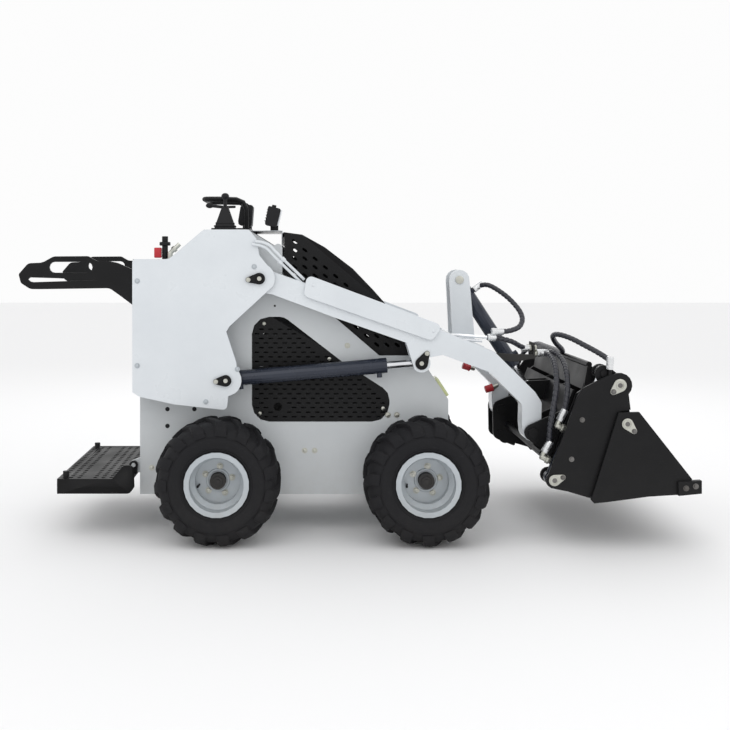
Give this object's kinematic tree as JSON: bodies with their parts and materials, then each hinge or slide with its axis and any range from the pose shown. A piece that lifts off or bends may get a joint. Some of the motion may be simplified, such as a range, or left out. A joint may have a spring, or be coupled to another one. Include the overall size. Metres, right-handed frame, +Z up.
{
  "type": "skid steer loader",
  "caption": "Compact stand-on skid steer loader with lift arms, a clam bucket worked by hydraulic cylinders, a hinged hood and a folding step at the rear.",
  "frame": {"origin": "centre of the bounding box in plan, on the ground under the tyres", "axes": "+X forward towards the bucket, +Y to the machine's left, +Z up"},
  "size_m": [2.4558, 1.07, 1.2983],
  "materials": {
    "tyre": "matt rubber with worn tread",
    "rim_paint": "silver grey paint, semi-gloss",
    "hose": "wrapped rubber hose",
    "chrome_rod": "hard chrome, mirror bright",
    "barrel_paint": "blue-grey gloss paint",
    "iron": "bare and dark, slightly oily",
    "white_paint": "white gloss powder coat",
    "grey_paint": "light grey powder coat",
    "black_plastic": "matt moulded plastic",
    "black_paint": "black satin powder coat"
  },
  "bodies": {
    "machine_frame": {"belly_pan": "grey_paint", "front_plate": "grey_paint", "rear_panel_lower": "grey_paint", "rear_panel_upper": "white_paint", "rear_deck": "white_paint", "dash_panel": "white_paint", "engine_block": "iron", "rear_axle": "iron", "front_axle": "iron", "console": "black_plastic", "handlebar": "black_paint", "joystick": "black_plastic", "work_light": "black_plastic", "hull_side_right": "grey_paint", "side_grille_right": "black_paint", "outer_cover_right": "white_paint", "rear_handle_right": "black_paint", "hull_side_left": "grey_paint", "side_grille_left": "black_paint", "outer_cover_left": "white_paint", "rear_handle_left": "black_paint"},
    "engine_hood": {"hood": "black_paint"},
    "step_platform": {"platform": "black_paint"},
    "lift_arms": {"lift_arm_right": "white_paint", "lift_arm_left": "white_paint", "arm_cover_right": "white_paint", "arm_cover_left": "white_paint", "arm_cross_tube": "white_paint", "hose_bulkhead": "iron", "arm_line": "chrome_rod", "tilt_hose": "hose", "bulkhead_hose": "hose", "clam_hose_base": "hose", "clam_hose_gland": "hose"},
    "bucket": {"quick_attach": "black_paint", "bucket_back": "black_paint", "bucket_side_right": "black_paint", "bucket_side_left": "black_paint", "guard_hose": "hose"},
    "clam_jaw": {"jaw_floor": "black_paint", "jaw_side_right": "black_paint", "jaw_side_left": "black_paint"},
    "tilt_barrel_body": {"tilt_barrel": "barrel_paint"},
    "tilt_rod_body": {"tilt_rod": "chrome_rod"},
    "lift_barrel_body_right": {"lift_right_barrel": "barrel_paint"},
    "lift_rod_body_right": {"lift_right_rod": "chrome_rod"},
    "clam_barrel_body_right": {"clam_right_barrel": "barrel_paint"},
    "clam_rod_body_right": {"clam_right_rod": "chrome_rod"},
    "wheel_rear_right": {"tyre_rear_right": "tyre", "rim_rear_right": "rim_paint"},
    "wheel_front_right": {"tyre_front_right": "tyre", "rim_front_right": "rim_paint"},
    "lift_barrel_body_left": {"lift_left_barrel": "barrel_paint"},
    "lift_rod_body_left": {"lift_left_rod": "chrome_rod"},
    "clam_barrel_body_left": {"clam_left_barrel": "barrel_paint"},
    "clam_rod_body_left": {"clam_left_rod": "chrome_rod"},
    "wheel_rear_left": {"tyre_rear_left": "tyre", "rim_rear_left": "rim_paint"},
    "wheel_front_left": {"tyre_front_left": "tyre", "rim_front_left": "rim_paint"}
  },
  "joints": [
    {"name": "arm_lift", "type": "hinge", "parent": "machine_frame", "child": "lift_arms", "pos_m": [-0.33913, 0, 0.959], "axis": [0, -1, 0], "range_deg": [-7, 65]},
    {"name": "bucket_tilt", "type": "hinge", "parent": "lift_arms", "child": "bucket", "pos_m": [0.66887, 0, 0.391], "axis": [0, 1, 0], "range_deg": [-15, 70], "deforming": ["clam_hose_base", "clam_hose_gland", "tilt_hose"]},
    {"name": "jaw_open", "type": "hinge", "parent": "bucket", "child": "clam_jaw", "pos_m": [0.94787, 0, 0.5825], "axis": [0, -1, 0], "range_deg": [0, 50], "deforming": ["guard_hose"]},
    {"name": "hood_open", "type": "hinge", "parent": "machine_frame", "child": "engine_hood", "pos_m": [-0.24913, 0, 1.127], "axis": [0, -1, 0], "range_deg": [0, 60]},
    {"name": "platform_fold", "type": "hinge", "parent": "machine_frame", "child": "step_platform", "pos_m": [-0.82313, 0, 0.247], "axis": [0, 1, 0], "range_deg": [0, 90]},
    {"name": "tilt_cylinder_swing", "type": "hinge", "parent": "lift_arms", "child": "tilt_barrel_body", "pos_m": [0.44487, 0, 0.948], "axis": [0, -1, 0], "range_deg": [-1.5, 1.5]},
    {"name": "tilt_cylinder_slide", "type": "slide", "parent": "tilt_barrel_body", "child": "tilt_rod_body", "axis": [0.5439, 0, -0.8391], "range_m": [-0.031, 0.142]},
    {"name": "lift_cylinder_swing_right", "type": "hinge", "parent": "machine_frame", "child": "lift_barrel_body_right", "pos_m": [-0.46313, -0.311, 0.583], "axis": [0, -1, 0], "range_deg": [-6, 47]},
    {"name": "lift_cylinder_slide_right", "type": "slide", "parent": "lift_barrel_body_right", "child": "lift_rod_body_right", "axis": [0.9964, 0, 0.0847], "range_m": [-0.037, 0.326]},
    {"name": "clam_cylinder_swing_right", "type": "hinge", "parent": "bucket", "child": "clam_barrel_body_right", "pos_m": [0.71487, -0.4535, 0.245], "axis": [0, -1, 0], "range_deg": [-2, 1]},
    {"name": "clam_cylinder_slide_right", "type": "slide", "parent": "clam_barrel_body_right", "child": "clam_rod_body_right", "axis": [0.4349, 0, 0.9005], "range_m": [-0.057, 0.002]},
    {"name": "wheel_spin_rear_right", "type": "hinge", "parent": "machine_frame", "child": "wheel_rear_right", "pos_m": [-0.48613, -0.417, 0.2285], "axis": [0, 1, 0], "continuous": true},
    {"name": "wheel_spin_front_right", "type": "hinge", "parent": "machine_frame", "child": "wheel_front_right", "pos_m": [0.26787, -0.417, 0.2285], "axis": [0, 1, 0], "continuous": true},
    {"name": "lift_cylinder_swing_left", "type": "hinge", "parent": "machine_frame", "child": "lift_barrel_body_left", "pos_m": [-0.46313, 0.311, 0.583], "axis": [0, -1, 0], "range_deg": [-6, 47]},
    {"name": "lift_cylinder_slide_left", "type": "slide", "parent": "lift_barrel_body_left", "child": "lift_rod_body_left", "axis": [0.9964, 0, 0.0847], "range_m": [-0.037, 0.326]},
    {"name": "clam_cylinder_swing_left", "type": "hinge", "parent": "bucket", "child": "clam_barrel_body_left", "pos_m": [0.71487, 0.4535, 0.245], "axis": [0, -1, 0], "range_deg": [-2, 1]},
    {"name": "clam_cylinder_slide_left", "type": "slide", "parent": "clam_barrel_body_left", "child": "clam_rod_body_left", "axis": [0.4349, 0, 0.9005], "range_m": [-0.057, 0.002]},
    {"name": "wheel_spin_rear_left", "type": "hinge", "parent": "machine_frame", "child": "wheel_rear_left", "pos_m": [-0.48613, 0.417, 0.2285], "axis": [0, 1, 0], "continuous": true},
    {"name": "wheel_spin_front_left", "type": "hinge", "parent": "machine_frame", "child": "wheel_front_left", "pos_m": [0.26787, 0.417, 0.2285], "axis": [0, 1, 0], "continuous": true}
  ],
  "couplings": [
    {"joint": "tilt_cylinder_swing", "follows": "bucket_tilt", "ratio": 0.006},
    {"joint": "tilt_cylinder_slide", "follows": "bucket_tilt", "m_per_rad": 0.113},
    {"joint": "lift_cylinder_swing_right", "follows": "arm_lift", "ratio": 0.704},
    {"joint": "lift_cylinder_slide_right", "follows": "arm_lift", "m_per_rad": 0.2845},
    {"joint": "clam_cylinder_swing_right", "follows": "jaw_open", "ratio": -0.026},
    {"joint": "clam_cylinder_slide_right", "follows": "jaw_open", "m_per_rad": -0.0625},
    {"joint": "lift_cylinder_swing_left", "follows": "arm_lift", "ratio": 0.704},
    {"joint": "lift_cylinder_slide_left", "follows": "arm_lift", "m_per_rad": 0.2845},
    {"joint": "clam_cylinder_swing_left", "follows": "jaw_open", "ratio": -0.026},
    {"joint": "clam_cylinder_slide_left", "follows": "jaw_open", "m_per_rad": -0.0625}
  ]
}
